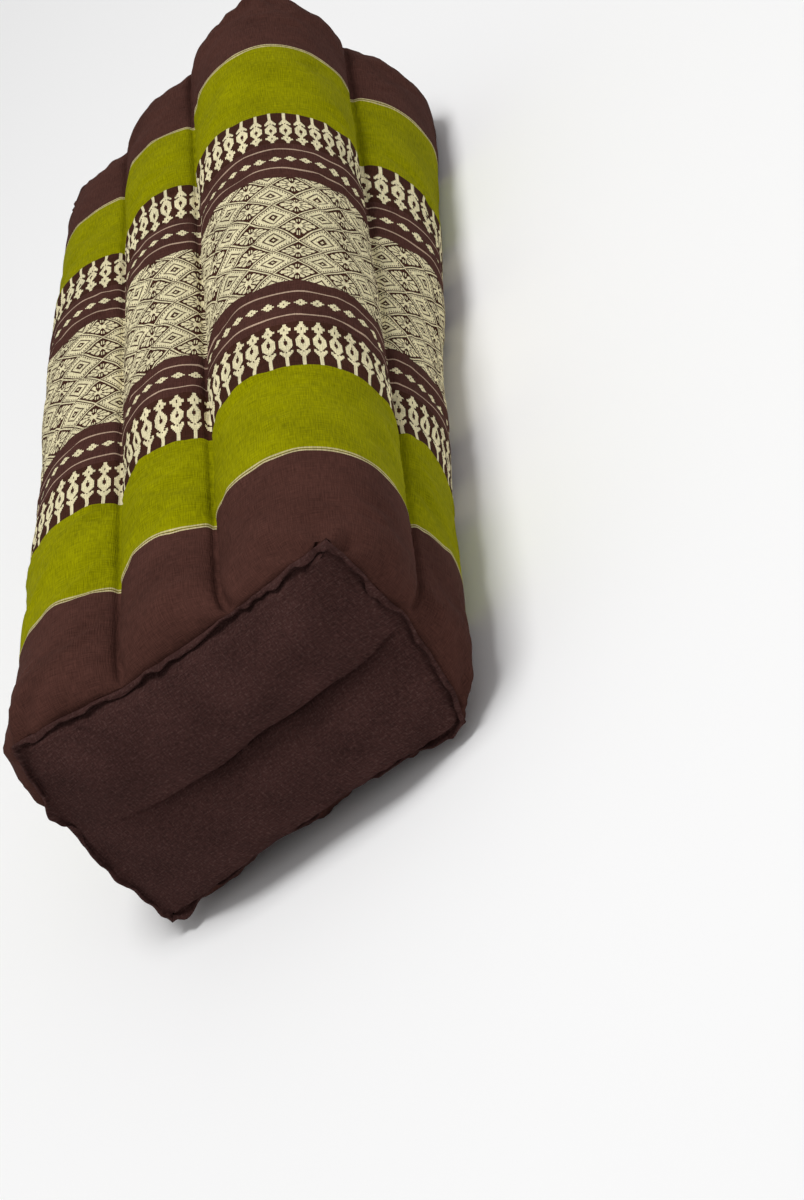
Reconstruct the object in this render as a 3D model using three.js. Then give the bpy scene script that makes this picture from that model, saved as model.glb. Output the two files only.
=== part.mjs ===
// Thai block cushion, lying on one wide side. X runs across, Y along the sewn channels, Z up.
import * as THREE from "three";

// Lengths in millimetres, angles in degrees.
const seamToSeam = 490; // between the two end seams
const clearGap = 0.3; // between the filled cover and each end panel
const sinkDepth = 2.2; // how far the resting tubes press flat on the surface
const sectionMiddleZ = 58.5; // height of the section's middle

// The tubes close down on the end seam over this length, like a quarter of an ellipse.
const closeLength = 25;
const closeSteps = 6;
const bodySteps = 17;
const tuckReach = 60; // how far in from the end seam a tuck still shows
// Each end leans: how far in it lies at the middle, and per millimetre across and up. reach: how far
// along the cushion the lean still shows, longer at the back since the whole cushion bends a little.
const lean = {
  front: { middle: -0.5, perX: 0.019, perZ: 0.049, reach: 60 },
  back: { middle: 10, perX: -0.145, perZ: 0.1, reach: 220 },
};

// The section turns along the length: the front end one way, the back end the other.
const frontTurn = -4;
const backTurn = 8;
const turnFadeHeight = 70; // below this height the lift of the turn fades, so the underside stays flat

// Slow swelling and thinning of each tube along its length, as two waves, each tube a little later.
const swellShare = 0.045;
const swellWaves = 1.15;
const swellShift = 1.9; // radians from one tube to the next
const rippleShare = 0.4; // the second wave's part of the first
const rippleWaves = 2.7;

// End panel: a crown with one sewn crease along it, and the pinched seam that stands up round its edge.
const panelRise = 3; // the fold at the crown's edge stands this far out
const crownHeight = 14;
const crownHalfWidth = 77;
const crownHalfHeight = 50;
const crownSquareness = 3.2;
const creaseDepth = 6.5;
const creaseHalfWidth = 9;
const creaseEndFade = 3; // how quickly the crease takes its depth from the panel's edge
const creaseFadeStart = -70;
const creaseFadeEnd = 40;
const crownRings = [0.955, 0.88, 0.76, 0.6, 0.42, 0.22]; // shares of the way out to the seam
const capRing = 0.5; // ring halfway in on the flat between cover and panel
const tuckFade = 4; // power by which a tuck dies out towards the middle of the end
// The pinched seam waves along its crest and dips at each sewn line.
const seamWaveCount = 15;
const seamWaveHeight = 0.9;
const seamWaveOutward = 0.6; // the sideways part of the wave
const seamDipDepth = 1.6;
const seamDipReach = 9;
const seamLivelyRise = 4; // the waves are full from this far forward, and none at the back edge
// Pinched seam from its back edge over the crest to the fold where the crown begins.
const seamProfile = [
  { outward: 0.4, forward: 0.3 },
  { outward: 2.2, forward: 1.4 },
  { outward: 2.2, forward: 3.6 },
  { outward: 0.6, forward: 4.6 },
  { outward: -1.6, forward: 3.0 },
];

// The sewn lines between the tubes and the corner tips of the end panels, clockwise as seen from the front.
// bodyX, bodyZ: the sewn line along the body. endX, endZ: where it meets the end seam.
// frontTuck, backTuck: how far the end seam is drawn in there.
const edge = {
  sideLeft: { bodyX: -85, bodyZ: 58.5, endX: -81, endZ: 59, frontTuck: 3, backTuck: 3 },
  tipTopLeft: { endX: -76, endZ: 109, frontTuck: 0, backTuck: 0 },
  topLeft: { bodyX: -24.5, bodyZ: 106, endX: -24, endZ: 103, frontTuck: 0.5, backTuck: 2 },
  topRight: { bodyX: 24.5, bodyZ: 106, endX: 29, endZ: 104, frontTuck: 2.5, backTuck: 0.5 },
  tipTopRight: { endX: 78, endZ: 111, frontTuck: 0, backTuck: 0 },
  sideRight: { bodyX: 85, bodyZ: 58.5, endX: 78, endZ: 61, frontTuck: 8, backTuck: 1 },
  tipBottomRight: { endX: 74.5, endZ: 7, frontTuck: 0, backTuck: 0 },
  bottomRight: { bodyX: 24.5, bodyZ: 11, endX: 24, endZ: 13, frontTuck: 1.5, backTuck: 2 },
  bottomLeft: { bodyX: -24.5, bodyZ: 11, endX: -27, endZ: 13, frontTuck: 1, backTuck: 1.5 },
  tipBottomLeft: { endX: -79.5, endZ: 9, frontTuck: 0, backTuck: 0 },
};

// The six tubes. bulge: rise of the arc over its chord. steps: pieces of the arc, an even number at a tip.
const tubes = [
  { from: "sideLeft", tip: "tipTopLeft", to: "topLeft", bulge: 33, steps: 16 },
  { from: "topLeft", tip: null, to: "topRight", bulge: 11.5, steps: 8 },
  { from: "topRight", tip: "tipTopRight", to: "sideRight", bulge: 31, steps: 16 },
  { from: "sideRight", tip: "tipBottomRight", to: "bottomRight", bulge: 37, steps: 16 },
  { from: "bottomRight", tip: null, to: "bottomLeft", bulge: 13, steps: 8 },
  { from: "bottomLeft", tip: "tipBottomLeft", to: "sideLeft", bulge: 34, steps: 16 },
];

const mix = (a, b, t) => a + (b - a) * t;
const smooth = (t) => {
  const c = Math.min(Math.max(t, 0), 1);
  return c * c * (3 - 2 * c);
};

// Every place round the section: which tube, how far along its arc, and the end seam's point there.
function sectionPlaces() {
  const places = [];
  tubes.forEach((tube, index) => {
    const from = edge[tube.from];
    const to = edge[tube.to];
    const tip = tube.tip ? edge[tube.tip] : null;
    for (let step = 0; step < tube.steps; step++) {
      const t = step / tube.steps;
      const a = tip && t >= 0.5 ? tip : from;
      const b = tip && t < 0.5 ? tip : to;
      const share = tip ? (t * 2) % 1 : t;
      places.push({
        tube,
        index,
        t,
        endX: mix(a.endX, b.endX, share),
        endZ: mix(a.endZ, b.endZ, share),
        frontTuck: mix(a.frontTuck, b.frontTuck, share),
        backTuck: mix(a.backTuck, b.backTuck, share),
      });
    }
  });
  // Running length along the end seam, for its waves and dips.
  let run = 0;
  places.forEach((place, i) => {
    place.run = run;
    const next = places[(i + 1) % places.length];
    run += Math.hypot(next.endX - place.endX, next.endZ - place.endZ);
  });
  places.forEach((place, i) => {
    const before = places[(i + places.length - 1) % places.length];
    const after = places[(i + 1) % places.length];
    const dx = after.endX - before.endX;
    const dz = after.endZ - before.endZ;
    place.outX = -dz / Math.hypot(dx, dz);
    place.outZ = dx / Math.hypot(dx, dz);
    place.runShare = place.run / run;
  });
  const sewn = places.filter((place) => place.t === 0);
  places.forEach((place) => {
    const gaps = sewn.map((s) => {
      const d = Math.abs(place.run - s.run);
      return Math.min(d, run - d);
    });
    place.dip = Math.exp(-((Math.min(...gaps) / seamDipReach) ** 2));
  });
  return places;
}
const places = sectionPlaces();

// A circular arc over the chord between two sewn lines, bulging outwards.
function bodyPoint(place, y) {
  const from = edge[place.tube.from];
  const to = edge[place.tube.to];
  const dx = to.bodyX - from.bodyX;
  const dz = to.bodyZ - from.bodyZ;
  const chord = Math.hypot(dx, dz);
  const wave = (y / seamToSeam) * Math.PI * 2;
  const swell =
    Math.sin(wave * swellWaves + place.index * swellShift) +
    rippleShare * Math.sin(wave * rippleWaves + place.index * 2 * swellShift);
  const bulge = place.tube.bulge * (1 + swellShare * swell);
  const radius = (chord * chord * 0.25 + bulge * bulge) / (2 * bulge);
  const halfAngle = Math.atan2(chord / 2, radius - bulge);
  const angle = (2 * place.t - 1) * halfAngle;
  const along = radius * Math.sin(angle);
  const out = radius * Math.cos(angle) - (radius - bulge);
  return {
    x: (from.bodyX + to.bodyX) / 2 + (dx * along - dz * out) / chord,
    z: (from.bodyZ + to.bodyZ) / 2 + (dz * along + dx * out) / chord,
  };
}

// Lean of one end at a point, fading with the distance from that end.
function leanOf({ middle, perX, perZ, reach }, x, z, fromEnd) {
  const fade = Math.min(Math.max(1 - fromEnd / reach, 0), 1) ** 2;
  return (middle + perX * x + perZ * (z - sectionMiddleZ)) * fade;
}

// Lean of the ends, turn of the section at y, and the flat underside where the cushion rests.
function settle(x, y, z) {
  const front = leanOf(lean.front, x, z, y + seamToSeam / 2);
  const back = leanOf(lean.back, x, z, seamToSeam / 2 - y);
  const turn = THREE.MathUtils.degToRad(mix(frontTurn, backTurn, y / seamToSeam + 0.5));
  const lift = smooth(z / turnFadeHeight) * Math.sin(turn);
  return new THREE.Vector3(x - z * Math.sin(turn), y + front - back, Math.max(z + x * lift - sinkDepth, 0));
}

// How far the tucks of the two ends move a place of the section along the cushion.
function tuckAt(place, y) {
  const front = Math.max(1 - (y + seamToSeam / 2) / tuckReach, 0) ** 2;
  const back = Math.max(1 - (seamToSeam / 2 - y) / tuckReach, 0) ** 2;
  return place.frontTuck * front - place.backTuck * back;
}

// One ring of the cover. angle goes from 0 at the end seam to a right angle where the tubes are full.
function coverRing(side, angle) {
  const closed = 1 - Math.sin(angle);
  const inward = closeLength * (1 - Math.cos(angle));
  return places.map((place) => {
    const flat = side * (seamToSeam / 2 - inward);
    const y = flat + tuckAt(place, flat);
    const body = bodyPoint(place, y);
    return settle(mix(body.x, place.endX, closed), y, mix(body.z, place.endZ, closed));
  });
}

// A plain ring of the body.
function bodyRing(share) {
  const half = seamToSeam / 2 - closeLength;
  const y = mix(-half, half, share);
  return places.map((place) => {
    const body = bodyPoint(place, y);
    return settle(body.x, y + tuckAt(place, y), body.z);
  });
}

// A ring on the end: scaled in from the seam, then moved out square to the seam and forward along the cushion.
function endRing(side, scale, outward, forward) {
  return places.map((place) => {
    const out = typeof outward === "function" ? outward(place) : outward;
    const x = place.endX * scale + place.outX * out;
    const z = (place.endZ - sectionMiddleZ) * scale + sectionMiddleZ + place.outZ * out;
    const tuck = (side < 0 ? place.frontTuck : place.backTuck) * scale ** tuckFade;
    const ahead = typeof forward === "function" ? forward(place, x, z) : forward;
    return settle(x, side * (seamToSeam / 2 - tuck + ahead), z);
  });
}

// Crown of the end panel less its crease, which runs from side to side and fades towards the left.
function crown(x, z) {
  const fall = (share) => Math.max(1 - Math.abs(share) ** crownSquareness, 0);
  const across = fall(x / crownHalfWidth);
  const full = crownHeight * across * fall((z - sectionMiddleZ) / crownHalfHeight);
  const side = x < 0 ? edge.sideLeft : edge.sideRight;
  const creaseZ = mix(sectionMiddleZ, side.endZ, x / side.endX);
  const groove = Math.exp(-(((z - creaseZ) / creaseHalfWidth) ** 2));
  const deep = smooth((x - creaseFadeStart) / (creaseFadeEnd - creaseFadeStart));
  return full - creaseDepth * groove * deep * Math.min(across * creaseEndFade, 1);
}

// A closed body from rings of equal count, with a fan at each end.
function closedBody(first, rings, last, flip) {
  const count = places.length;
  const points = [first, ...rings.flat(), last];
  const faces = [];
  for (let i = 0; i < count; i++) {
    const next = (i + 1) % count;
    faces.push([0, 1 + next, 1 + i]);
    for (let k = 0; k + 1 < rings.length; k++) {
      const a = 1 + k * count;
      const b = a + count;
      faces.push([a + i, a + next, b + next], [a + i, b + next, b + i]);
    }
    const top = 1 + (rings.length - 1) * count;
    faces.push([top + i, top + next, points.length - 1]);
  }
  const geometry = new THREE.BufferGeometry();
  geometry.setAttribute(
    "position",
    new THREE.Float32BufferAttribute(points.flatMap((p) => [p.x, p.y, p.z]), 3),
  );
  geometry.setIndex(faces.flatMap(([a, b, c]) => (flip ? [a, c, b] : [a, b, c])));
  geometry.computeVertexNormals();
  return geometry;
}

function coverGeometry() {
  const rings = [];
  const angles = Array.from({ length: closeSteps }, (_, i) => (i / closeSteps) * (Math.PI / 2));
  rings.push(endRing(-1, capRing, 0, 0));
  angles.forEach((angle) => rings.push(coverRing(-1, angle)));
  for (let i = 0; i <= bodySteps; i++) rings.push(bodyRing(i / bodySteps));
  angles.reverse().forEach((angle) => rings.push(coverRing(1, angle)));
  rings.push(endRing(1, capRing, 0, 0));
  const middle = (side) => settle(0, (side * seamToSeam) / 2, sectionMiddleZ);
  return closedBody(middle(-1), rings, middle(1), false);
}

function panelGeometry(side) {
  const wave = (place) => Math.sin(place.runShare * seamWaveCount * 2 * Math.PI + side) * seamWaveHeight;
  const rings = [endRing(side, capRing, 0, clearGap), endRing(side, 1, 0, clearGap)];
  seamProfile.forEach(({ outward, forward }) => {
    const lively = Math.min(Math.max(forward - clearGap, 0) / seamLivelyRise, 1);
    rings.push(
      endRing(
        side,
        1,
        (place) => outward + lively * wave(place) * seamWaveOutward,
        (place) => clearGap + forward + lively * (wave(place) - seamDipDepth * place.dip),
      ),
    );
  });
  crownRings.forEach((scale) =>
    rings.push(endRing(side, scale, 0, (place, x, z) => clearGap + panelRise + crown(x, z))),
  );
  const middle = (ahead) => settle(0, side * (seamToSeam / 2 + clearGap + ahead), sectionMiddleZ);
  return closedBody(middle(0), rings, middle(panelRise + crown(0, sectionMiddleZ)), side < 0);
}

const cloth = (color) => new THREE.MeshStandardMaterial({ color, roughness: 0.9 });
const pieces = [
  { name: "cover", geometry: coverGeometry(), material: cloth(0x8a8a24) },
  { name: "end_panel_front", geometry: panelGeometry(-1), material: cloth(0x442e2e) },
  { name: "end_panel_back", geometry: panelGeometry(1), material: cloth(0x442e2e) },
];

// Centre the whole over the origin, resting on Z = 0.
const box = new THREE.Box3();
pieces.forEach(({ geometry }) => {
  geometry.computeBoundingBox();
  box.union(geometry.boundingBox);
});
const middle = box.getCenter(new THREE.Vector3());
const group = new THREE.Group();
group.name = "thai_block_cushion";
pieces.forEach(({ name, geometry, material }) => {
  geometry.translate(-middle.x, -middle.y, -box.min.z);
  const mesh = new THREE.Mesh(geometry, material);
  mesh.name = name;
  group.add(mesh);
});

export default group;
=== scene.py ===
import math

import bpy
import numpy as np
from mathutils import Matrix, Vector


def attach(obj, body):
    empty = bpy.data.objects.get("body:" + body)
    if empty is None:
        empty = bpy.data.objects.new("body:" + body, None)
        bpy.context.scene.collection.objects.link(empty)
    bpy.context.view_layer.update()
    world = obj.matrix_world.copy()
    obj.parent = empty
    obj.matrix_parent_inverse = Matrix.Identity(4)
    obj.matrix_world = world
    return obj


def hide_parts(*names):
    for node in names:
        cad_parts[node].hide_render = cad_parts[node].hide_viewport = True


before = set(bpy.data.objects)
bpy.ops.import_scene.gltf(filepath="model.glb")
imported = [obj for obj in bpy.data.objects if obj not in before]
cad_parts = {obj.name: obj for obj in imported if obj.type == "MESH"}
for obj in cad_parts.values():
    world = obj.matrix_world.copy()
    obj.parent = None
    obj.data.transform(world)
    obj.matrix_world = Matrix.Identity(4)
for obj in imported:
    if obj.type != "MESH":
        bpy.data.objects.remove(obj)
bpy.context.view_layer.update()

# Lengths in the dictionaries are millimetres and angles degrees; meshes are in metres.
mm = 0.001

# The cushion's build: the sizes of its solids, and from crowding on what only the scene has
cushion = {
    "seamToSeam": 490.0,
    "centring": (2.8268, 2.8052),  # puts the middle of the whole over the origin
    "sectionMiddle": 58.5,
    "sinkDepth": 2.2,
    "closeLength": 25.0,
    "frontTurn": -4.0,
    "backTurn": 8.0,
    "turnFadeHeight": 70.0,
    "tuckReach": 60.0,
    "clearGap": 0.3,
    # middle, per millimetre across, per millimetre up, reach along the cushion
    "frontLean": (-0.5, 0.019, 0.049, 60.0),
    "backLean": (10.0, -0.145, 0.1, 220.0),
    "swellShare": 0.045,
    "swellWaves": 1.15,
    "swellShift": 1.9,
    "rippleShare": 0.4,
    "rippleWaves": 2.7,
    "crowding": 0.6,  # how much closer the mesh lies beside the sewn lines
    "fullerReach": 200.0,  # how far from the middle of the length the fuller shares of the tubes are whole
    "cornerReach": 9.0,
    "leftBow": 3.5,  # how far the front end seam bows out on the left
    "leftBowSpan": (10.0, 105.0),
    "leftBowFade": 40.0,  # how far left of the middle the bow is whole
}

# Sewn lines: body x and z, end x and z, tuck at the front and at the back. Corner tips: end x and z, and how
# far the corner is rounded off at the front and at the back.
sewnLines = {
    "sideLeft": (-85.0, 58.5, -81.0, 59.0, 3.0, 3.0),
    "topLeft": (-24.5, 106.0, -24.0, 103.0, 0.5, 2.0),
    "topRight": (24.5, 106.0, 29.0, 104.0, 2.5, 0.5),
    "sideRight": (85.0, 58.5, 78.0, 61.0, 8.0, 1.0),
    "bottomRight": (24.5, 11.0, 24.0, 13.0, 1.5, 2.0),
    "bottomLeft": (-24.5, 11.0, -27.0, 13.0, 1.0, 1.5),
}
cornerTips = {
    "topLeft": (-76.0, 109.0, 3.0, 9.0),
    "topRight": (78.0, 111.0, 0.6, 3.0),
    "bottomRight": (74.5, 7.0, 3.4, 3.4),
    "bottomLeft": (-79.5, 9.0, 1.2, 2.0),
}
# The six tubes, clockwise from the front: from, corner tip, to, rise of the arc over its chord, and how
# much fuller than its solid the tube is: at the middle, more towards the back, more towards both ends.
tubes = (
    ("sideLeft", "topLeft", "topLeft", 33.0, (-1.5, -3.0, -1.0)),
    ("topLeft", None, "topRight", 11.5, (-0.6, 0.0, 0.0)),
    ("topRight", "topRight", "sideRight", 31.0, (3.6, 0.4, -2.2)),
    ("sideRight", "bottomRight", "bottomRight", 37.0, (-1.5, 4.6, 0.0)),
    ("bottomRight", None, "bottomLeft", 13.0, (0.0, 0.0, 0.0)),
    ("bottomLeft", "bottomLeft", "sideLeft", 34.0, (0.0, 0.0, 0.0)),
)


def mix(a, b, share):
    return a + (b - a) * share


def smooth(share):
    # 3t^2 - 2t^3 between 0 and 1
    t = np.clip(share, 0.0, 1.0)
    return t * t * (3 - 2 * t)


def sectionColumns(perCorner):
    # Every place round the section, as one array for each value. A middle tube has half as many as a corner.
    # A sine crowds the places towards the sewn lines, and a corner is drawn in by a bell curve of the
    # distance from its tip.
    parts = []
    for index, (start, tip, end, bulge, fuller) in enumerate(tubes):
        steps = perCorner if tip else perCorner // 2
        t = np.arange(steps) / steps
        t = t - cushion["crowding"] * np.sin(t * math.tau) / math.tau
        a, b = sewnLines[start], sewnLines[end]
        if tip:
            corner = (*cornerTips[tip][:2], 0.0, 0.0)
            first, second = t < 0.5, t >= 0.5
            share = (t * 2) % 1
            ends = [
                np.where(first, mix(a[k], corner[k - 2], share), mix(corner[k - 2], b[k], share))
                for k in (2, 3, 4, 5)
            ]
            gap = np.hypot(ends[0] - corner[0], ends[1] - corner[1])
            toMiddle = math.hypot(corner[0], corner[1] - cushion["sectionMiddle"])
            pull = np.exp(-((gap / cushion["cornerReach"]) ** 2)) / toMiddle
        else:
            ends = [mix(a[k], b[k], t) for k in (2, 3, 4, 5)]
            pull = 0.0 * t
        same = np.ones(steps)
        parts.append(
            (same * index, t, same * a[0], same * a[1], same * b[0], same * b[1], same * bulge, *ends,
             *(same * f for f in fuller), *(pull * r for r in (cornerTips[tip][2:] if tip else (0, 0))))
        )
    names = ("index", "t", "fromX", "fromZ", "toX", "toZ", "bulge", "endX", "endZ", "frontTuck", "backTuck",
             "fuller", "fullerBack", "fullerEnds", "frontRound", "backRound")
    columns = {name: np.concatenate([p[i] for p in parts]) for i, name in enumerate(names)}
    # running length along the end seam, the direction square to it, and the distance to the nearest sewn line
    dx = np.roll(columns["endX"], -1) - columns["endX"]
    dz = np.roll(columns["endZ"], -1) - columns["endZ"]
    pieces = np.hypot(dx, dz)
    columns["run"] = np.concatenate([[0.0], np.cumsum(pieces)[:-1]])
    columns["whole"] = pieces.sum()
    wideX = np.roll(columns["endX"], -1) - np.roll(columns["endX"], 1)
    wideZ = np.roll(columns["endZ"], -1) - np.roll(columns["endZ"], 1)
    columns["outX"] = -wideZ / np.hypot(wideX, wideZ)
    columns["outZ"] = wideX / np.hypot(wideX, wideZ)
    columns["seamGap"] = nearest(columns["run"], columns["run"][columns["t"] == 0], columns["whole"])
    tips = columns["run"][(columns["frontRound"] > 0) & np.isclose(columns["t"], 0.5)]
    whole = columns["whole"]
    offset = (columns["run"][:, None] - tips[None, :] + whole / 2) % whole - whole / 2
    columns["fromTip"] = offset[np.arange(len(offset)), np.abs(offset).argmin(axis=1)]
    # running length of the cloth round the middle of the body
    x, z = bodyPoint(columns, np.zeros((1, 1)))
    around = np.hypot(np.roll(x[0], -1) - x[0], np.roll(z[0], -1) - z[0])
    columns["cloth"] = np.concatenate([[0.0], np.cumsum(around)[:-1]])
    columns["clothWhole"] = around.sum()
    columns["clothGap"] = nearest(columns["cloth"], columns["cloth"][columns["t"] == 0], around.sum())
    return columns


def endOutline(columns, back):
    # the end seam's outline, its corners rounded towards the middle, and its left side bowed out at the front
    # by half a sine wave; back is 0 at the front and 1 at the back
    pull = 1 - mix(columns["frontRound"], columns["backRound"], back)
    middle = cushion["sectionMiddle"]
    low, high = cushion["leftBowSpan"]
    bow = cushion["leftBow"] * np.sin(np.clip((columns["endZ"] - low) / (high - low), 0, 1) * math.pi)
    bow = bow * smooth(columns["endX"] / -cushion["leftBowFade"]) * (1 - back)
    return columns["endX"] * pull - bow, (columns["endZ"] - middle) * pull + middle


def nearest(places, marks, whole):
    # distance round a closed line of length whole to the nearest mark
    gaps = np.abs(places[:, None] - marks[None, :])
    return np.minimum(gaps, whole - gaps).min(axis=1)


def bodyPoint(c, y):
    # a circular arc over the chord between two sewn lines, its rise swelling slowly along the cushion
    dx, dz = c["toX"] - c["fromX"], c["toZ"] - c["fromZ"]
    chord = np.hypot(dx, dz)
    wave = y / cushion["seamToSeam"] * math.tau
    swell = np.sin(wave * cushion["swellWaves"] + c["index"] * cushion["swellShift"])
    ripple = np.sin(wave * cushion["rippleWaves"] + c["index"] * 2 * cushion["swellShift"])
    bulge = c["bulge"] * (1 + cushion["swellShare"] * (swell + cushion["rippleShare"] * ripple))
    reach = y / cushion["fullerReach"]
    bulge = bulge + c["fuller"] + c["fullerBack"] * reach + c["fullerEnds"] * reach**2
    radius = (chord * chord / 4 + bulge * bulge) / (2 * bulge)
    angle = (2 * c["t"] - 1) * np.arctan2(chord / 2, radius - bulge)
    along = radius * np.sin(angle)
    out = radius * np.cos(angle) - (radius - bulge)
    x = (c["fromX"] + c["toX"]) / 2 + (dx * along - dz * out) / chord
    z = (c["fromZ"] + c["toZ"]) / 2 + (dz * along + dx * out) / chord
    return x, z


def leanOf(lean, x, z, fromEnd):
    # how far in an end lies at a point, fading with the square of the distance from that end
    middle, perX, perZ, reach = lean
    fade = np.clip(1 - fromEnd / reach, 0.0, 1.0) ** 2
    return (middle + perX * x + perZ * (z - cushion["sectionMiddle"])) * fade


def settle(x, y, z):
    # lean of both ends, then the slow turn of the section; the underside is pressed flat at zero
    half = cushion["seamToSeam"] / 2
    front = leanOf(cushion["frontLean"], x, z, y + half)
    back = leanOf(cushion["backLean"], x, z, half - y)
    turn = np.sin(np.radians(mix(cushion["frontTurn"], cushion["backTurn"], y / (2 * half) + 0.5)))
    lift = smooth(z / cushion["turnFadeHeight"]) * turn
    height = np.maximum(z + x * lift - cushion["sinkDepth"], 0.0)
    cx, cy = cushion["centring"]
    return np.stack(np.broadcast_arrays(x - z * turn + cx, y + front - back + cy, height), axis=-1)


def softNoise(x, y, size, seed, waves=18):
    # a sum of plane waves in seeded directions, about size long, with values near -1 to 1
    rng = np.random.default_rng(seed)
    angle = rng.uniform(0, math.tau, waves)
    length = size * rng.uniform(0.7, 1.6, waves)
    shift = rng.uniform(0, math.tau, waves)
    total = 0.0
    for a, l, s in zip(angle, length, shift):
        total = total + np.sin((np.cos(a) * x + np.sin(a) * y) * math.tau / l + s)
    return total / math.sqrt(waves / 2) * 0.7


def gridNormals(points):
    # cross product of the steps round and along
    across = np.roll(points, -1, axis=1) - np.roll(points, 1, axis=1)
    along = np.gradient(points, axis=0)
    normal = np.cross(across, along)
    return normal / np.maximum(np.linalg.norm(normal, axis=2, keepdims=True), 1e-9)


def closedFaces(rows, columns):
    # quads of a closed tube of rings, then a fan to a pole at each end; the poles are the last two points
    r, c = np.meshgrid(np.arange(rows - 1), np.arange(columns), indexing="ij")
    n = (c + 1) % columns
    here, ahead = r * columns, (r + 1) * columns
    quads = np.stack([here + c, here + n, ahead + n, ahead + c], axis=-1)
    i = np.arange(columns)
    j = (i + 1) % columns
    first, last = np.full(columns, rows * columns), np.full(columns, rows * columns + 1)
    top = (rows - 1) * columns
    fans = [np.stack([first, j, i], 1), np.stack([top + i, top + j, last], 1)]
    return quads.reshape(-1, 4), np.concatenate(fans)


def buildMesh(name, points, quads, triangles, uv=None, wear=None):
    # points in millimetres; uv is one pair for each corner, in the order of the faces; wear is a shade for
    # each point, about -1 to 1
    mesh = bpy.data.meshes.new(name)
    loops = np.concatenate([quads.ravel(), triangles.ravel()]).astype(np.int32)
    sizes = np.concatenate([np.full(len(quads), 4), np.full(len(triangles), 3)]).astype(np.int32)
    starts = np.concatenate([[0], np.cumsum(sizes)[:-1]]).astype(np.int32)
    mesh.vertices.add(len(points))
    mesh.vertices.foreach_set("co", (points * mm).astype(np.float32).ravel())
    mesh.loops.add(len(loops))
    mesh.loops.foreach_set("vertex_index", loops)
    mesh.polygons.add(len(sizes))
    mesh.polygons.foreach_set("loop_start", starts)
    mesh.polygons.foreach_set("use_smooth", np.ones(len(sizes), dtype=bool))
    if uv is not None:
        mesh.uv_layers.new(name="cloth").data.foreach_set("uv", uv.astype(np.float32).ravel())
    mesh.update(calc_edges=True)
    mesh.validate()
    if wear is not None:
        mesh.attributes.new("wear", "FLOAT", "POINT").data.foreach_set("value", wear.astype(np.float32))
    piece = bpy.data.objects.new(name, mesh)
    bpy.context.scene.collection.objects.link(piece)
    return piece


# Woven cover
cover = {
    "perCorner": 72,  # places round a corner tube, twice those of the simulation
    "bodyRows": 240,
    "closeRows": 16,
    "closeCloth": 35.0,  # length of cloth from where the ends start to close to the end seam
    "capShare": 0.5,
    # under the end panels: how far on the cap's ring lies in the cloth, and where its middle does
    "capCloth": 30.0,
    "poleCloth": -290.0,
    "seamGroove": 1.5,  # the sewn line itself, a narrow crease
    "seamGrooveWidth": 2.2,
    "seamPucker": 0.35,  # small cross folds beside the sewn lines
    "seamPuckerReach": 6.0,
    "seamPuckerStart": 2.5,
    "patchSize": 60.0,  # of the patches where the folds are stronger or weaker
    "foldLength": 7.3,
    "foldStray": 31.0,  # over what length the folds crowd and part
    "fineFoldLength": 4.9,
    "fineFoldStray": 17.0,
    "calmReach": 6.0,  # over what distance from a seam or a tip lumps, grooves and folds set in
    "endPucker": 0.6,  # small folds running in from the end seams
    "endPuckerReach": 15.0,
    "endPuckerStart": 3.0,
    "endPuckerSizes": (9.0, 17.0),
    "tipFold": 1.7,
    "tipFolds": 8.0,
    "tipReach": 20.0,
    "tipStart": 7.0,  # how far beyond the seam the folds' fan has its point
    "dent": 0.5,  # lumps of the filling
    "dentSize": 70.0,
    "smallDent": 0.18,
    "smallDentSize": 24.0,
    "wearSize": 34.0,
    "simSteps": 20,
    "simPressure": 4.0,
    "simShrink": -0.03,
    "simCap": 0.7,
    "simFree": 16.0,
    "puff": (2.6, 0.8, 1.0, 1.0, 0.0, 0.0),  # how much fuller each tube is near the front end
    "puffPlace": 18.0,
    "puffReach": 16.0,
}


def coverRows():
    # distance along before the ends lean, and how far each row has closed down to the end seam, by a quarter
    # of an ellipse
    angle = np.arange(cover["closeRows"]) / cover["closeRows"] * math.pi / 2
    half = cushion["seamToSeam"] / 2
    near = -half + cushion["closeLength"] * (1 - np.cos(angle))
    body = np.linspace(-half + cushion["closeLength"], half - cushion["closeLength"], cover["bodyRows"] + 1)
    closed = 1 - np.sin(angle)
    flat = np.concatenate([near, body, -near[::-1]])
    return flat, np.concatenate([closed, np.zeros(len(body)), closed[::-1]])


def coverPoints(columns, flat, closed):
    # the body's section drawn towards the end seam's outline by the closed share
    y = flat[:, None] + tuckAt(columns, flat[:, None])
    x, z = bodyPoint(columns, y)
    endX, endZ = endOutline(columns, (flat > 0)[:, None])
    share = closed[:, None]
    return settle(mix(x, endX, share), y, mix(z, endZ, share))


def tuckAt(columns, y):
    # how far the tucks of the two ends move a place along the cushion, fading with the square of the distance
    half, reach = cushion["seamToSeam"] / 2, cushion["tuckReach"]
    front = np.maximum(1 - (y + half) / reach, 0.0) ** 2
    back = np.maximum(1 - (half - y) / reach, 0.0) ** 2
    return columns["frontTuck"] * front - columns["backTuck"] * back


def capPoints(columns, side, share):
    # a ring on the flat end under the panel: the end outline scaled by share, the tucks by its fourth power
    half, middle = cushion["seamToSeam"] / 2, cushion["sectionMiddle"]
    tuck = columns["frontTuck" if side < 0 else "backTuck"] * share**4
    endX, endZ = endOutline(columns, side > 0)
    ring = settle(endX * share, side * (half - tuck), (endZ - middle) * share + middle)
    return ring[None]


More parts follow.
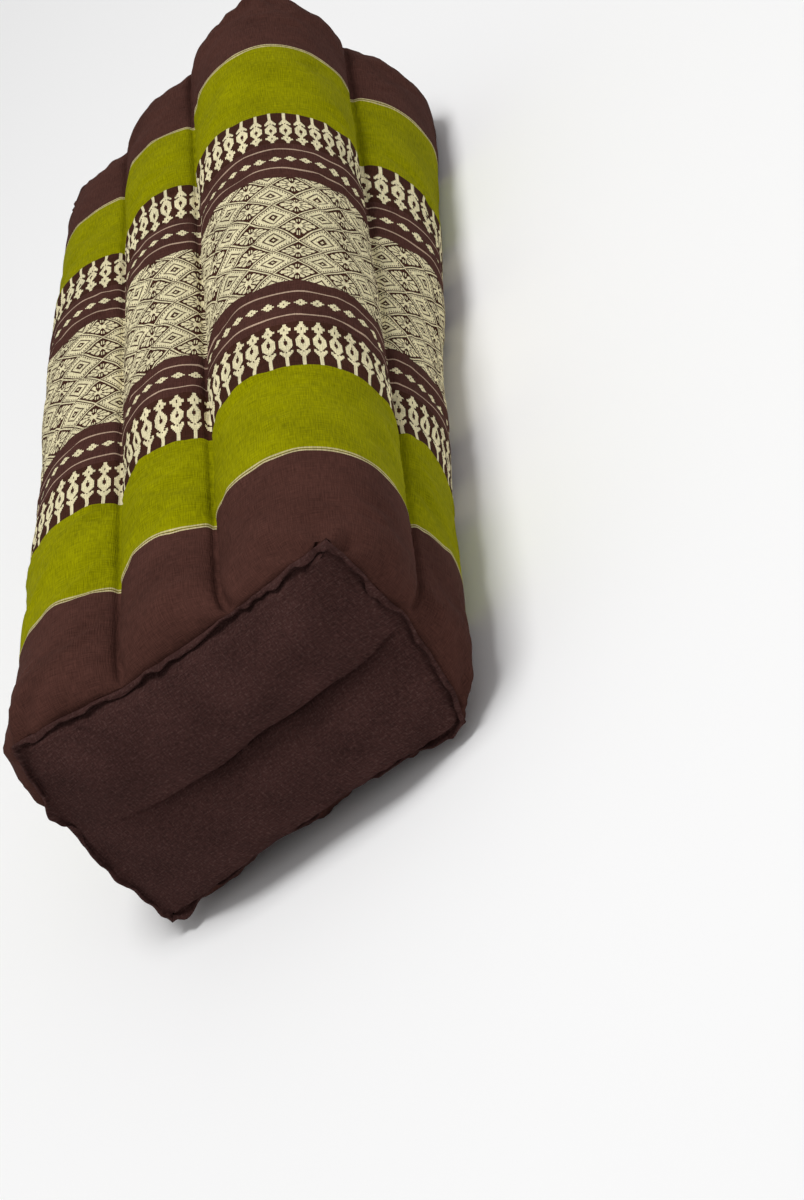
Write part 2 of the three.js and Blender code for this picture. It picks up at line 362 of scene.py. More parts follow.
def relaxCloth(points, pinned, shape):
    # cloth under pressure, sewn fast along the pinned points; gives back how far each point moved
    rows, count = shape
    quads, triangles = closedFaces(rows, count)
    trial = buildMesh("clothTrial", points, quads, triangles)
    group = trial.vertex_groups.new(name="sewn")
    group.add([int(i) for i in np.flatnonzero(pinned)], 1.0, "REPLACE")
    modifier = trial.modifiers.new("cloth", "CLOTH")
    settings = modifier.settings
    settings.quality = 5
    settings.mass = 0.15
    settings.tension_stiffness = settings.compression_stiffness = 12
    settings.shear_stiffness = 4
    settings.bending_stiffness = 0.4
    settings.use_pressure = True
    settings.uniform_pressure_force = cover["simPressure"]
    settings.shrink_min = settings.shrink_max = cover["simShrink"]
    settings.vertex_group_mass = "sewn"
    settings.effector_weights.gravity = 0
    modifier.collision_settings.use_self_collision = False
    modifier.point_cache.frame_start = 1
    modifier.point_cache.frame_end = cover["simSteps"]
    for step in range(1, cover["simSteps"] + 1):
        bpy.context.scene.frame_set(step)
    relaxed = trial.evaluated_get(bpy.context.evaluated_depsgraph_get()).data
    moved = np.empty(len(points) * 3, dtype=np.float32)
    relaxed.vertices.foreach_get("co", moved)
    mesh = trial.data
    bpy.data.objects.remove(trial)
    bpy.data.meshes.remove(mesh)
    bpy.context.scene.frame_set(1)
    return moved.reshape(-1, 3) / mm - points


def refine(grid, periodic, axis):
    # a new point between each two, by the cubic rule (-1, 9, 9, -1) / 16
    before, after = np.roll(grid, 1, axis), np.roll(grid, -1, axis)
    beyond = np.roll(grid, -2, axis)
    between = (9 * (grid + after) - before - beyond) / 16
    if not periodic:
        last = [slice(None)] * grid.ndim
        last[axis] = [-2, -1]
        first = [slice(None)] * grid.ndim
        first[axis] = [0]
        between[tuple(first)] = (grid[tuple(first)] + after[tuple(first)]) / 2
        between[tuple(last)] = (grid[tuple(last)] + after[tuple(last)]) / 2
    woven = np.stack([grid, between], axis=axis + 1)
    shape = list(grid.shape)
    shape[axis] *= 2
    woven = woven.reshape(shape)
    if not periodic:
        keep = [slice(None)] * grid.ndim
        keep[axis] = slice(0, shape[axis] - 1)
        woven = woven[tuple(keep)]
    return woven


def clothNoise(ringX, ringY, along, size, seed):
    # slow noise over the whole cloth, the same on both sides of its closing line
    return softNoise(ringX[None, :] + 0.6 * along[:, None], ringY[None, :] - 0.8 * along[:, None], size, seed)


def coverPoles():
    # the middles of the two flat ends
    half = cushion["seamToSeam"] / 2
    return [settle(0.0, side * half, cushion["sectionMiddle"]) for side in (-1, 1)]


def fillingPush(columns, points, normal, closed):
    # how far the settled filling pushes each point out, eased to the cap by a hyperbolic tangent. The
    # measured section stays: only what varies along the cushion is kept, square to the cloth and away from
    # the seams.
    half = points[::2, ::2]
    rows, count = half.shape[:2]
    pinned = np.zeros((rows, count), dtype=bool)
    pinned[0] = pinned[-1] = True
    pinned[:, columns["t"][::2] == 0] = True
    allPoints = np.concatenate([half.reshape(-1, 3), coverPoles()])
    allPinned = np.concatenate([pinned.ravel(), [True, True]])
    moved = relaxCloth(allPoints, allPinned, (rows, count))[:-2].reshape(half.shape)
    print("cloth settled, largest move", round(float(np.abs(moved).max()), 2), "mm")
    push = (moved * normal[::2, ::2]).sum(axis=2)
    push = push - push.mean(axis=0, keepdims=True)
    push = cover["simCap"] * np.tanh(push / cover["simCap"])
    free = smooth(columns["clothGap"] / cover["simFree"])[None, :] * (1 - closed)[:, None]
    return refine(refine(push, False, 0), True, 1) * free


def coverFolds(columns, flat, closed):
    # how far the cloth lifts square to itself: folds as sines, grooves, gathers and fuller places, each faded
    # by a bell curve of its distance from the seam, tip or end that it belongs to, and lumps of noise
    y = flat[:, None]
    fromEnd = cushion["seamToSeam"] / 2 - np.abs(y)
    cloth = columns["cloth"][None, :]
    beside = np.exp(-((columns["clothGap"] / cover["seamPuckerReach"]) ** 2))[None, :] * (1 - closed[:, None])
    seamSide = np.round(columns["index"] + columns["t"]) % 6
    stray = 1.5 * np.sin(y / cover["foldStray"] + seamSide)
    fold = np.sin(y / cover["foldLength"] * math.tau + 2.1 * seamSide + stray)
    stray = np.sin(y / cover["fineFoldStray"])
    fold = fold + 0.6 * np.sin(y / cover["fineFoldLength"] * math.tau + 1.3 * seamSide + stray)
    patch = 0.6 + 0.4 * softNoise(cloth, y, cover["patchSize"], 5)
    start = np.minimum(columns["clothGap"] / cover["seamPuckerStart"], 1)[None, :]
    lift = cover["seamPucker"] * fold * patch * beside * start
    # folds fanning out from the corner tips
    spread = np.hypot(columns["fromTip"][None, :], fromEnd)
    turned = np.arctan2(columns["fromTip"][None, :], fromEnd + cover["tipStart"])
    fan = np.sin(turned * cover["tipFolds"] + 0.8 * np.sign(y)) * smooth(spread / cover["calmReach"])
    lift = lift + cover["tipFold"] * fan * np.exp(-((spread / cover["tipReach"]) ** 2))
    groove = np.exp(-((columns["clothGap"] / cover["seamGrooveWidth"]) ** 2))[None, :]
    lift = lift - cover["seamGroove"] * groove * smooth(fromEnd / cover["calmReach"])
    gather = np.exp(-((fromEnd / cover["endPuckerReach"]) ** 2))
    gather = gather * np.minimum(fromEnd / cover["endPuckerStart"], 1)
    small, large = cover["endPuckerSizes"]
    radial = softNoise(cloth, 0 * cloth, small, 11) + 0.6 * softNoise(cloth, 0 * cloth, large, 12)
    lift = lift + cover["endPucker"] * radial * gather
    puff = np.array(cover["puff"])[columns["index"].astype(int)] * np.sin(columns["t"] * math.pi)
    fromFront = y + cushion["seamToSeam"] / 2
    lift = lift + puff[None, :] * np.exp(-(((fromFront - cover["puffPlace"]) / cover["puffReach"]) ** 2))
    calm = np.minimum(columns["clothGap"] / cover["calmReach"], 1)[None, :] * (1 - closed[:, None])
    lift = lift + calm * cover["dent"] * softNoise(cloth, y, cover["dentSize"], 21)
    return lift + calm * cover["smallDent"] * softNoise(cloth, y, cover["smallDentSize"], 22)


def clothMap(columns, flat, closed, quads, triangles):
    # the cloth's own map, in metres round the section and along the cushion, and the wear of each point. The
    # threads stray by slow noise and drift sideways in two smooth steps.
    count = len(columns["t"])
    beyond = cover["closeCloth"] * (1 - np.arcsin(1 - closed) * 2 / math.pi) - cushion["closeLength"]
    place = np.where(closed > 0, np.sign(flat) * (cushion["seamToSeam"] / 2 + beyond), flat)
    along = np.concatenate([[place[0] - cover["capCloth"]], place, [place[-1] + cover["capCloth"]]])
    corner = quads % count
    wrapped = (corner == 0) & (corner == count - 1).any(axis=1, keepdims=True)
    u = np.where(wrapped, columns["clothWhole"], columns["cloth"][corner])
    v = along[quads // count]
    circle = columns["clothWhole"] / math.tau
    ringX, ringY = circle * np.cos(columns["cloth"] / circle), circle * np.sin(columns["cloth"] / circle)
    wander, size = weave["wander"], weave["wanderSize"]
    stray = [wander * clothNoise(ringX, ringY, along, size, seed).ravel()[quads] for seed in (71, 72)]
    (far, start, reach), (lessFar, lessStart, lessReach) = weave["drift"]
    drift = far * smooth((v - start) / reach) - lessFar * smooth((v - lessStart) / lessReach)
    quadUv = np.stack([u + stray[0] - drift, v + stray[1]], axis=-1).reshape(-1, 2)
    triUv = np.stack([np.zeros(triangles.size), np.full(triangles.size, cover["poleCloth"])], axis=-1)
    wear = clothNoise(ringX, ringY, along, cover["wearSize"], 73).ravel()
    return np.concatenate([quadUv, triUv]) * mm, np.append(wear, [0.0, 0.0])


def buildCover():
    columns = sectionColumns(cover["perCorner"])
    flat, closed = coverRows()
    points = coverPoints(columns, flat, closed)
    normal = gridNormals(points)
    points = points + normal * fillingPush(columns, points, normal, closed)[..., None]
    points = points + normal * coverFolds(columns, flat, closed)[..., None]
    points[..., 2] = np.maximum(points[..., 2], 0.0)
    front, back = capPoints(columns, -1, cover["capShare"]), capPoints(columns, 1, cover["capShare"])
    rings = np.concatenate([front, points, back])
    quads, triangles = closedFaces(rings.shape[0], len(columns["t"]))
    uv, wear = clothMap(columns, flat, closed, quads, triangles)
    allPoints = np.concatenate([rings.reshape(-1, 3), coverPoles()])
    piece = buildMesh("wovenCover", allPoints, quads, triangles, uv, wear)
    print("woven cover", len(piece.data.polygons), "faces")
    return piece


# End panels with their pinched seam
panel = {
    "perCorner": 112,
    "rise": 3.0,
    "crownHeight": 14.0,
    "crownHalfWidth": 77.0,
    "crownHalfHeight": 50.0,
    "crownSquareness": 3.2,
    "creaseDepth": 6.4,
    "creaseHalfWidth": 9.0,
    "creaseFine": 3.6,
    "creaseFineWidth": 1.5,
    "creaseStray": ((0.8, 13.0), (0.4, 5.3)),  # how far the crease's line wavers, over what length
    "creaseFade": (-92.0, 15.0),
    "creaseEndFade": 3.0,  # how quickly it takes its depth from the panel's edge
    "creaseEase": (25.0, 60.0, 0.45),  # from where, over what length and by what share it is shallower
    "crownRows": 44,
    "crownStart": 0.945,  # share of the outline where the crown's rings begin
    "crownCrowding": 1.25,
    "lipShare": 0.96,
    # the pinched seam from its back edge over the crest to the fold where the crown begins
    "lip": (
        (0.2, 0.4), (0.6, 0.8), (0.9, 1.5), (0.9, 2.4), (0.7, 3.3), (0.2, 4.0),
        (-0.3, 4.0), (-0.7, 3.2), (-0.9, 2.2), (-1.2, 1.5), (-1.9, 1.5),
    ),
    "calmRise": 0.4,  # the seam's waves start this far forward
    "livelyRise": 4.0,  # and are whole after this much more
    "waveCount": 15,
    "waveHeight": 0.9,
    "waveOutward": 1.0,
    "fineWave": 1.0,
    "fineSizes": (11.0, 6.0),  # of the small waves forwards
    "sideSize": 13.0,  # and outwards
    "tuckDip": 1.6,
    "tuckReach": 9.0,
    "pucker": 0.45,
    "puckerReach": 9.0,
    "puckerSizes": (10.0, 6.0),
    "dent": 0.7,
    "dentSize": 38.0,
    "wearSize": 26.0,
}


def fall(share):
    # 1 in the middle, and less by a power of the share of the way to the edge
    return np.maximum(1 - np.abs(share) ** panel["crownSquareness"], 0.0)


def crown(x, z):
    # height times the falloffs across and up, less a wide soft crease (a bell curve of the distance from its
    # line) and a fine fold in it (exponential), both fading towards the left
    p = panel
    middle = cushion["sectionMiddle"]
    across = fall(x / p["crownHalfWidth"])
    full = p["crownHeight"] * across * fall((z - middle) / p["crownHalfHeight"])
    right, left = sewnLines["sideRight"], sewnLines["sideLeft"]
    line = np.where(x > 0, mix(middle, right[3], x / right[2]), mix(middle, left[3], x / left[2]))
    away = z - line - sum(high * np.sin(x / size) for high, size in p["creaseStray"])
    start, stop = p["creaseFade"]
    ease, reach, share = p["creaseEase"]
    deep = smooth((x - start) / (stop - start)) * np.minimum(across * p["creaseEndFade"], 1)
    deep = deep * (1 - share * smooth((x - ease) / reach))
    wide = p["creaseDepth"] * np.exp(-((away / p["creaseHalfWidth"]) ** 2))
    fine = p["creaseFine"] * np.exp(-np.abs(away / p["creaseFineWidth"]))
    return full - (wide + fine) * deep


def buildPanel(name, side):
    p = panel
    columns = sectionColumns(p["perCorner"])
    half, middle, gap = cushion["seamToSeam"] / 2, cushion["sectionMiddle"], cushion["clearGap"]
    run, whole = columns["run"], columns["whole"]
    seed = 40 + side
    tuck = columns["frontTuck" if side < 0 else "backTuck"]
    endX, endZ = endOutline(columns, side > 0)

    def ring(share, outward, forward):
        # the end outline scaled by share, moved outward in the end's plane and forward out of it
        x = endX * share + columns["outX"] * outward
        z = (endZ - middle) * share + middle + columns["outZ"] * outward
        ahead = forward(x, z) if callable(forward) else forward
        return settle(x, side * (half - tuck * share**4 + ahead), z)

    circle = run / whole * math.tau
    round1, round2 = whole / math.tau * np.cos(circle), whole / math.tau * np.sin(circle)
    wave = np.sin(circle * p["waveCount"] + side) * p["waveHeight"]
    large, small = p["fineSizes"]
    fine = softNoise(round1, round2, large, seed) + 0.6 * softNoise(round1, round2, small, seed + 1)
    fineSide = softNoise(round1, round2, p["sideSize"], seed + 2)
    dip = np.exp(-((columns["seamGap"] / p["tuckReach"]) ** 2))
    # pinched seam: its profile, with a sine wave round the edge, small noise and a dip at each sewn line
    rings = [ring(cover["capShare"], 0.0, gap), ring(1.0, 0.0, gap)]
    for outward, forward in refine(np.array(p["lip"]), False, 0):
        lively = min(max(forward - p["calmRise"], 0.0) / p["livelyRise"], 1.0)
        rings.append(
            ring(
                1.0,
                outward + lively * (wave * p["waveOutward"] + p["fineWave"] * fineSide),
                gap + forward + lively * (wave + p["fineWave"] * fine - p["tuckDip"] * dip),
            )
        )
    # crown, with small folds gathered at the seam and dents, both of noise
    large, small = p["puckerSizes"]
    radial = softNoise(round1, round2, large, seed + 3) + 0.5 * softNoise(round1, round2, small, seed + 4)
    reach = np.hypot(columns["endX"], columns["endZ"] - middle)
    steps = np.arange(1, p["crownRows"] + 1) / (p["crownRows"] + 1)
    for share in p["crownStart"] * (1 - steps ** p["crownCrowding"]):
        inward = reach * (p["lipShare"] - share)
        near = np.exp(-((inward / p["puckerReach"]) ** 2)) * p["pucker"] * radial

        def surface(x, z):
            dents = p["dent"] * softNoise(x, z, p["dentSize"], seed + 5) * min((1 - share) * 4, 1)
            return gap + p["rise"] + crown(x, z) + near + dents

        rings.append(ring(share, 0.0, surface))
    points = np.stack(rings)
    inner = settle(0.0, side * (half + gap), middle)
    outer = points[-1].mean(axis=0)
    quads, triangles = closedFaces(points.shape[0], points.shape[1])
    if side < 0:
        quads, triangles = quads[:, ::-1], triangles[:, ::-1]
    points[..., 2] = np.maximum(points[..., 2], 0.0)
    allPoints = np.concatenate([points.reshape(-1, 3), [inner, outer]])
    wear = softNoise(allPoints[:, 0], allPoints[:, 2], p["wearSize"], seed + 6)
    piece = buildMesh(name, allPoints, quads, triangles, None, wear)
    print(name, len(piece.data.polygons), "faces")
    return piece


# Materials
def tone(red, green, blue):
    # eye values 0 to 255 to the renderer's linear colour
    shares = [c / 255 for c in (red, green, blue)]
    return (*(((s + 0.055) / 1.055) ** 2.4 if s > 0.04 else s / 12.92 for s in shares), 1.0)


# A shader socket that plain arithmetic can be written with
class Strand:
    def __init__(self, graph, socket):
        self.graph, self.socket = graph, socket

    def math(self, operation, *others):
        return self.graph.node("ShaderNodeMath", {"operation": operation}, dict(enumerate((self, *others))))

    def __add__(self, other):
        return self.math("ADD", other)

    def __radd__(self, other):
        return self.math("ADD", other)

    def __sub__(self, other):
        return self.math("SUBTRACT", other)

    def __rsub__(self, other):
        return self.graph.node("ShaderNodeMath", {"operation": "SUBTRACT"}, {0: other, 1: self})

    def __mul__(self, other):
        return self.math("MULTIPLY", other)

    def __rmul__(self, other):
        return self.math("MULTIPLY", other)

    def __truediv__(self, other):
        return self.math("DIVIDE", other)

    def __mod__(self, other):
        return self.math("FLOORED_MODULO", other)

    def __rpow__(self, other):
        return self.graph.node("ShaderNodeMath", {"operation": "POWER"}, {0: other, 1: self})

    def __abs__(self):
        return self.math("ABSOLUTE")

    def __lt__(self, other):
        return self.math("LESS_THAN", other)

    def floor(self):
        return self.math("FLOOR")

    def within(self, middle, half):
        # 1 where this lies no further than half from middle
        return self.math("COMPARE", middle, half)

    def wave(self, length):
        return (self * (math.tau / length)).math("SINE")


class Graph:
    def __init__(self, name):
        self.material = bpy.data.materials.new(name)
        self.material.use_nodes = True
        self.tree = self.material.node_tree
        self.shader = self.tree.nodes["Principled BSDF"]

    def node(self, kind, settings, inputs, output=0):
        # output is one number, or several for as many strands
        made = self.tree.nodes.new(kind)
        for key, value in settings.items():
            if key == "stops":
                self.setStops(made.color_ramp, value)
            else:
                setattr(made, key, value)
        for key, value in inputs.items():
            if isinstance(value, Strand):
                self.tree.links.new(value.socket, made.inputs[key])
            else:
                made.inputs[key].default_value = value
        if isinstance(output, int):
            return Strand(self, made.outputs[output])
        return [Strand(self, made.outputs[i]) for i in output]

    def setStops(self, ramp, stops):
        ramp.interpolation = "CONSTANT"
        while len(ramp.elements) > 1:
            ramp.elements.remove(ramp.elements[-1])
        ramp.elements[0].position, ramp.elements[0].color = stops[0]
        for position, color in stops[1:]:
            ramp.elements.new(position).color = color

    def blend(self, share, first, second, way="MIX"):
        settings = {"data_type": "RGBA", "blend_type": way}
        return self.node("ShaderNodeMix", settings, {0: share, 6: first, 7: second}, 2)

    def noise(self, x, y, detail):
        # flat noise of one unit, middle value about a half
        where = self.node("ShaderNodeCombineXYZ", {}, {0: x, 1: y})
        inputs = {"Vector": where, "Scale": 1.0, "Detail": detail, "Roughness": 0.65}
        return self.node("ShaderNodeTexNoise", {"noise_dimensions": "2D"}, inputs)

    def attribute(self, name):
        return self.node("ShaderNodeAttribute", {"attribute_name": name}, {}, 2)

    def finish(self, color, height, depth):
        bump = self.node("ShaderNodeBump", {}, {"Height": height, "Distance": depth, "Strength": 1.0})
        self.tree.links.new(color.socket, self.shader.inputs["Base Color"])
        self.tree.links.new(bump.socket, self.shader.inputs["Normal"])
        self.shader.inputs["Roughness"].default_value = 0.9
        self.shader.inputs["Specular IOR Level"].default_value = 0.03
        return self.material


def rampOf(graph, chart, row):
    # a chart as a stepped ramp. A row's columns are the binary digits of the numbers in the three
    # channels, eight to a channel.
    def numbers(text):
        digits = (text + "." * 24)[:24].replace("#", "1").replace(".", "0")
        return tuple(int(digits[i : i + 8], 2) / 256 for i in (0, 8, 16)) + (1.0,)

    stops = [
        (i / len(chart), numbers(text)) for i, text in enumerate(chart) if i == 0 or text != chart[i - 1]
    ]
    ramp = graph.node("ShaderNodeValToRGB", {"stops": stops}, {0: (row + 0.5) / len(chart)})
    return graph.node("ShaderNodeSeparateXYZ", {}, {0: ramp}, (0, 1, 2))


def digit(held, place):
    # the binary digit of held at a place, counted from the largest
    return (held * 2.0 ** (place + 1.0) + 0.002).floor() % 2


# Bands of the cloth, as distances from the middle of its length, and the sizes of its threads
weave = {
    "fieldEnd": 47.2,
    "thinInner": 55.8,
    "lozengeMiddle": 64.6,
    "thinOuter": 74.1,
    "ornamentTop": 79.6,
    "greenStart": 113.7,
    "creamLine": 178.8,
    "thinHalf": 0.5,
    "doubleApart": 0.8,  # each of the two cream lines from the middle of the pair
    "doubleHalf": 0.45,
    "threadAcross": 0.51,  # one chart column
    "ornamentThread": 0.985,  # one chart row of the standing ornament
    "lozengeThread": 0.97,
    "fieldThread": 0.496,
    "ornamentRepeat": 14,
    "fieldRepeat": (42, 40),
    "fieldPhase": 32.0,  # columns by which the lattice is shifted round the cushion
    "grain": ((2.4, 0.16), (0.14, 2.2)),  # warp and weft, waves a millimetre round and along
    # sideways drift of the cloth along the cushion: how far, from where, over what length; and back again
    "drift": ((7.0, -95.0, 110.0), (1.9, 25.0, 50.0)),
    "wander": 0.14,  # how far threads stray, in millimetres
    "wanderSize": 16.0,
    "brown": tone(84, 53, 46),
    "ground": tone(72, 43, 33),
    "green": tone(152, 151, 0),
    "cream": tone(252, 241, 196),
    "thin": tone(200, 172, 148),
    "doubleLine": tone(214, 200, 150),
    "shade": (0.2, 0.62, 0.54, 0.05),  # least, then the shares of warp, weft and wear
    "threadWave": (1.02, 0.03),  # length round the cushion and share of the finest stripes
    "bump": 0.00022,  # height of the threads, in metres
}

# Half of the standing ornament from its foot up: stem, winged cap, slotted oval, flower; column 0 is its
# middle. The last five rows are half a lozenge.
ornamentRows = 34
motifChart = (
    "##....", "##....", "##....", "##....", "##....", "##....", "##....",
    "###...",
    "####..",
    "#####.",
    ".#####",
    "##..##",
    "###...",
    "####..",
    "#####.",
    "######",
    ".#####", "..####", "..####", "..####", ".#####",
    ".####.",
    "####..",
    "###...",
    "##....", "##....",
    "####..",
    "####..",
    ".#####", ".#####",
    "####..",
    "###...",
    "##....", "##....",
    "##....", "####..", ".#####", "####..", "##....",
)
# The lattice: twelve-petalled flowers in stepped diamonds. Its shapes are set by steps, the sum of columns
# and rows from a flower's middle; lengths inside the flower are millimetres.
lattice = {
    # direction and length of the petals in a quarter: sideways, two between, along
    "petals": ((0, 7.3), (32, 6.4), (60, 6.2), (90, 6.6)),
    "petalTaper": 0.6,
    "gapAngles": (17, 47, 76),
    "gapHalf": 0.36,
    "heart": 2.0,  # the gaps stay outside this
    "slitStart": 3,
    "flowerSteps": 15,
    # thin line, notched band, small band, middle diamond
    "shapes": ((19, 20), (23, 30), (33, 36), (40, 41)),
    "notch": (24, 25),
}


def latticeThread(column, row):
    # cream where the steps are those of a shape. In the flower, cream where the distance from its middle is
    # under the petal's length less its taper times the square of the distance off the petal's line, and
    # outside the gaps.
    steps = column + row
    if steps > lattice["flowerSteps"]:
        first, last = lattice["notch"]
        notched = first <= steps <= last and column % 2 == 0
        return not notched and any(inner <= steps <= outer for inner, outer in lattice["shapes"])
    x, y = column * weave["threadAcross"], row * weave["fieldThread"]
    distance, angle = math.hypot(x, y), math.degrees(math.atan2(y, x))
    direction, length = min(lattice["petals"], key=lambda petal: abs(angle - petal[0]))
    off = distance * math.sin(math.radians(abs(angle - direction)))
    gap = min(abs(distance * math.sin(math.radians(angle - way))) for way in lattice["gapAngles"])
    slit = column == 0 and row >= lattice["slitStart"]
    cut = slit or gap <= lattice["gapHalf"] and distance >= lattice["heart"]
    return distance < length - lattice["petalTaper"] * off * off and not cut


def latticeChart():
    # a quarter of the repeat: the flower's middle is top left, the stepped diamond's bottom right
    wide, tall = weave["fieldRepeat"]
    return [
        "".join("#" if latticeThread(column, row) else "." for column in range(wide // 2 + 1))
        for row in range(tall // 2 + 1)
    ]


def wovenMaterial():
    w = weave
    g = Graph("wovenCloth")
    uv = g.node("ShaderNodeUVMap", {"uv_map": "cloth"}, {})
    u, v = g.node("ShaderNodeSeparateXYZ", {}, {0: uv}, (0, 1))
    around, along = u * 1000, v * 1000  # metres to millimetres
    warp, weft = (g.noise(around * a, along * b, 1.0) for a, b in w["grain"])
    across = around / w["threadAcross"]
    fromMiddle = abs(along)

    # standing ornaments and lozenges
    lozengeHalf = (len(motifChart) - ornamentRows) / 2
    lozenge = fromMiddle.within(w["lozengeMiddle"], w["lozengeThread"] * lozengeHalf)
    ornamentRow = ((w["greenStart"] - fromMiddle) / w["ornamentThread"]).floor()
    lozengeRow = ((fromMiddle - w["lozengeMiddle"]) / w["lozengeThread"] + lozengeHalf + ornamentRows).floor()
    repeat = w["ornamentRepeat"]
    column = abs(((across + repeat / 2 + 0.5) % repeat).floor() - repeat / 2)
    standing = ornamentRow.within((ornamentRows - 1) / 2, ornamentRows / 2 - 0.1)
    row = ornamentRow * standing + lozengeRow * lozenge
    held = rampOf(g, motifChart, row)[0]
    motif = digit(held, column) * (standing + lozenge) * (column < len(motifChart[0]) - 0.5)

    # lattice of flowers and stepped diamonds
    wide, tall = w["fieldRepeat"]
    column = wide / 2 - abs(((across + w["fieldPhase"] + 0.5) % wide).floor() - wide / 2)
    row = tall / 2 - abs((fromMiddle / w["fieldThread"] + 0.5).floor() % tall - tall / 2)
    first, second, third = rampOf(g, latticeChart(), row)
    group = (column / 8).floor()
    held = first * group.within(0, 0.1) + second * group.within(1, 0.1) + third * group.within(2, 0.1)
    inField = fromMiddle < w["fieldEnd"]
    figure = motif + digit(held, column - group * 8) * inField

    middle = (w["thinInner"] + w["thinOuter"]) / 2
    thin = abs(fromMiddle - middle).within((w["thinOuter"] - w["thinInner"]) / 2, w["thinHalf"])
    double = abs(fromMiddle - w["creamLine"]).within(w["doubleApart"], w["doubleHalf"])
    greenMiddle = (w["greenStart"] + w["creamLine"]) / 2
    green = fromMiddle.within(greenMiddle, greenMiddle - w["greenStart"])
    groundMiddle = (w["greenStart"] + w["ornamentTop"]) / 2
    ground = fromMiddle.within(groundMiddle, w["greenStart"] - groundMiddle) + inField

    color = g.blend(ground, w["brown"], w["ground"])
    color = g.blend(green, color, w["green"])
    color = g.blend(thin, color, w["thin"])
    color = g.blend(double, color, w["doubleLine"])
    color = g.blend(figure, color, w["cream"])
    # thread by thread shade: the least shade plus the shares of warp, weft and wear and a fine sine wave
    least, warpShare, weftShare, wearShare = w["shade"]
    stripe, stripeShare = w["threadWave"]
    shade = least + warp * warpShare + weft * weftShare + g.attribute("wear") * wearShare
    shade = shade + around.wave(stripe) * stripeShare
    grey = g.node("ShaderNodeCombineXYZ", {}, {0: shade, 1: shade, 2: shade})
    color = g.blend(1.0, color, grey, "MULTIPLY")
    return g.finish(color, warp + weft, w["bump"])


# Plain cloth of the end panels
plainCloth = {
    "brown": tone(72, 47, 44),
    "lint": tone(114, 88, 83),
    "lintShare": 0.45,
    "slant": 0.7,  # how far the crown's depth counts as height in the noise
    # warp, weft and fluff, waves a millimetre across and up
    "grain": ((2.0, 0.22), (0.2, 1.9), (0.9, 0.9)),
    "shade": (0.08, 0.7, 0.7, 0.06),  # least, then the shares of warp, weft and wear
    "bump": 0.0003,
}


def endMaterial():
    # plain brown cloth, greyer than the cover: the brown, mixed with lint where the fluff is over a half,
    # times the least shade plus the shares of warp, weft and wear
    p = plainCloth
    g = Graph("endCloth")
    where = g.node("ShaderNodeTexCoord", {}, {}, 3)
    x, y, z = g.node("ShaderNodeSeparateXYZ", {}, {0: where}, (0, 1, 2))
    across, up = x * 1000, (z + y * p["slant"]) * 1000
    warp, weft, fluff = (g.noise(across * a, up * b, 2.0) for a, b in p["grain"])
    lint = ((fluff - 0.5) * 3).math("MAXIMUM", 0.0)
    least, warpShare, weftShare, wearShare = p["shade"]
    shade = least + warp * warpShare + weft * weftShare + g.attribute("wear") * wearShare
    grey = g.node("ShaderNodeCombineXYZ", {}, {0: shade, 1: shade, 2: shade})
    color = g.blend(1.0, g.blend(lint * p["lintShare"], p["brown"], p["lint"]), grey, "MULTIPLY")
    return g.finish(color, warp + weft + fluff, p["bump"])


coverPiece = buildCover()
frontPanel = buildPanel("endPanelFront", -1)
backPanel = buildPanel("endPanelBack", 1)
coverPiece.data.materials.append(wovenMaterial())
endCloth = endMaterial()
for piece in (frontPanel, backPanel):
    piece.data.materials.append(endCloth)
for piece, node, slot in (
    (coverPiece, "cover", "woven_cover"),
    (frontPanel, "end_panel_front", "end_cloth"),
    (backPanel, "end_panel_back", "end_cloth"),
):
    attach(piece, "root")
    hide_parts(node)
print("pieces set")

# Floor, light and camera
studio = {
    "floorSize": 8.0,
    "floorColor": tone(250, 250, 250),
    "world": 0.4,
    # power, place, the point that it faces, and size
    "lamps": {
        "key": (32.0, (0.15, -0.3, 2.3), (0, -0.05, 0.05), 0.9),
        "back": (2.0, (0.0, 1.8, 0.6), (0, 0.1, 0.05), 1.2),
        "fill": (2.0, (1.6, -1.4, 1.3), (0, 0, 0.05), 1.6),
    },
}
# Photo camera: turn round the cushion, height over it, roll, distance from its middle, focal length in
# pixels of the 1200 high picture, and where the middle falls from the picture's centre.
photo = {
    "azimuth": 23.668,
    "elevation": 28.052,
    "roll": 46.509,
    "distance": 1401.2,
    "focal": 3123.3,
    "offset": (-171.25, -200.19),
    "aimHeight": 60.0,
    "height": 1200,
}


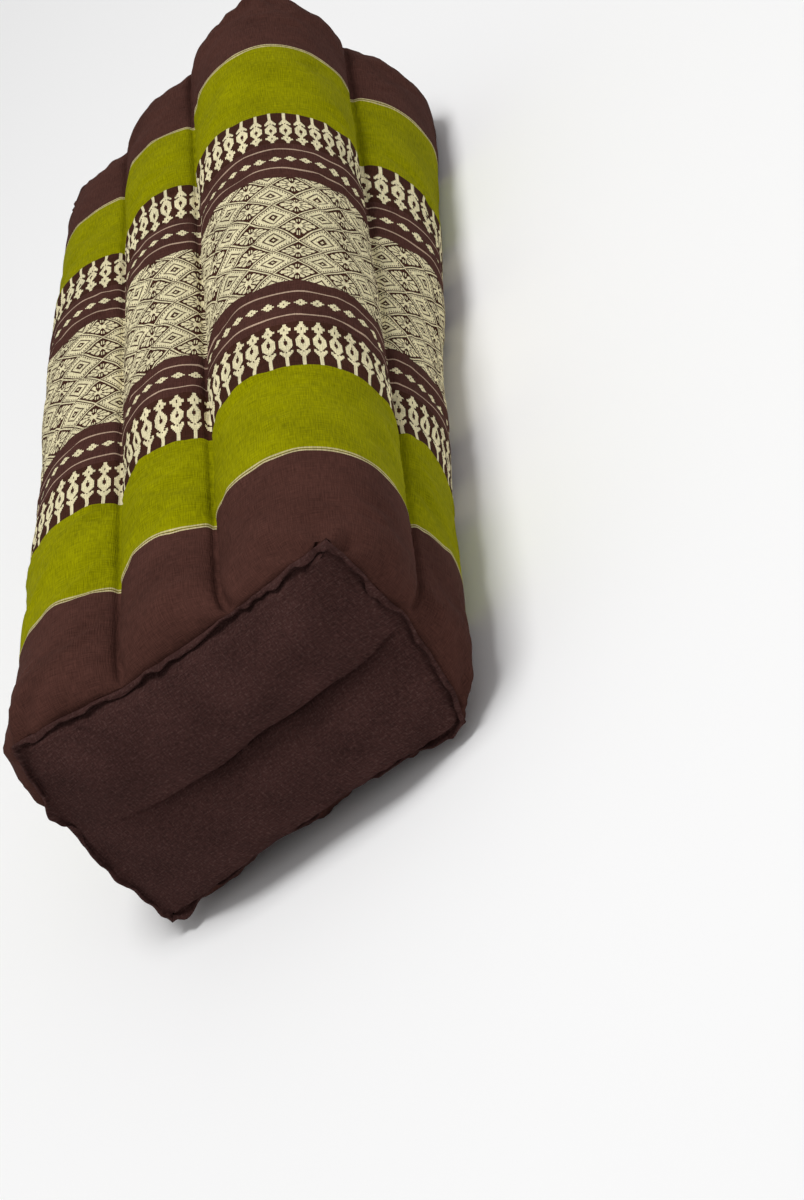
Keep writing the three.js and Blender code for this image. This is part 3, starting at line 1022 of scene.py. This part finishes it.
def buildFloor():
    half = studio["floorSize"] / 2
    mesh = bpy.data.meshes.new("floor")
    corners = [(-half, -half, 0), (half, -half, 0), (half, half, 0), (-half, half, 0)]
    mesh.from_pydata(corners, [], [(0, 1, 2, 3)])
    floor = bpy.data.objects.new("floor", mesh)
    bpy.context.scene.collection.objects.link(floor)
    g = Graph("paleFloor")
    g.shader.inputs["Base Color"].default_value = studio["floorColor"]
    g.shader.inputs["Roughness"].default_value = 0.9
    mesh.materials.append(g.material)


def photoAxes():
    # image right, image down and view direction, from azimuth, elevation and roll
    az, el, roll = (math.radians(photo[k]) for k in ("azimuth", "elevation", "roll"))
    back = np.array([math.sin(az) * math.cos(el), -math.cos(az) * math.cos(el), math.sin(el)])
    right = np.cross(-back, [0, 0, 1.0])
    right /= np.linalg.norm(right)
    down = np.cross(-back, right)
    c, s = math.cos(-roll), math.sin(-roll)
    return np.stack([c * right - s * down, s * right + c * down, -back])


def buildCamera():
    axes = photoAxes()
    reach = photo["distance"] / photo["focal"]
    aim = np.array([photo["offset"][0] * reach, photo["offset"][1] * reach, photo["distance"]])
    place = (np.array([0, 0, photo["aimHeight"]]) - axes.T @ aim) * mm
    data = bpy.data.cameras.new("photoCamera")
    data.sensor_width = 36
    data.lens = photo["focal"] / photo["height"] * 36
    data.clip_end = 50
    camera = bpy.data.objects.new("photoCamera", data)
    turn = Matrix([list(axes[0]), list(-axes[1]), list(-axes[2])]).transposed().to_4x4()
    camera.matrix_world = Matrix.Translation(Vector(place)) @ turn
    bpy.context.scene.collection.objects.link(camera)
    bpy.context.scene.camera = camera


def areaLight(name, power, place, target, size):
    data = bpy.data.lights.new(name, "AREA")
    data.shape, data.size, data.energy = "DISK", size, power
    light = bpy.data.objects.new(name, data)
    place, target = Vector(place), Vector(target)
    turn = (target - place).to_track_quat("-Z", "Y").to_matrix().to_4x4()
    light.matrix_world = Matrix.Translation(place) @ turn
    bpy.context.scene.collection.objects.link(light)


buildFloor()
buildCamera()
for lampName, lamp in studio["lamps"].items():
    areaLight(lampName, *lamp)
world = bpy.data.worlds.new("studio")
bpy.context.scene.world = world
world.use_nodes = True
world.node_tree.nodes["Background"].inputs["Color"].default_value = (1, 1, 1, 1)
world.node_tree.nodes["Background"].inputs["Strength"].default_value = studio["world"]
bpy.context.scene.view_settings.view_transform = "Standard"
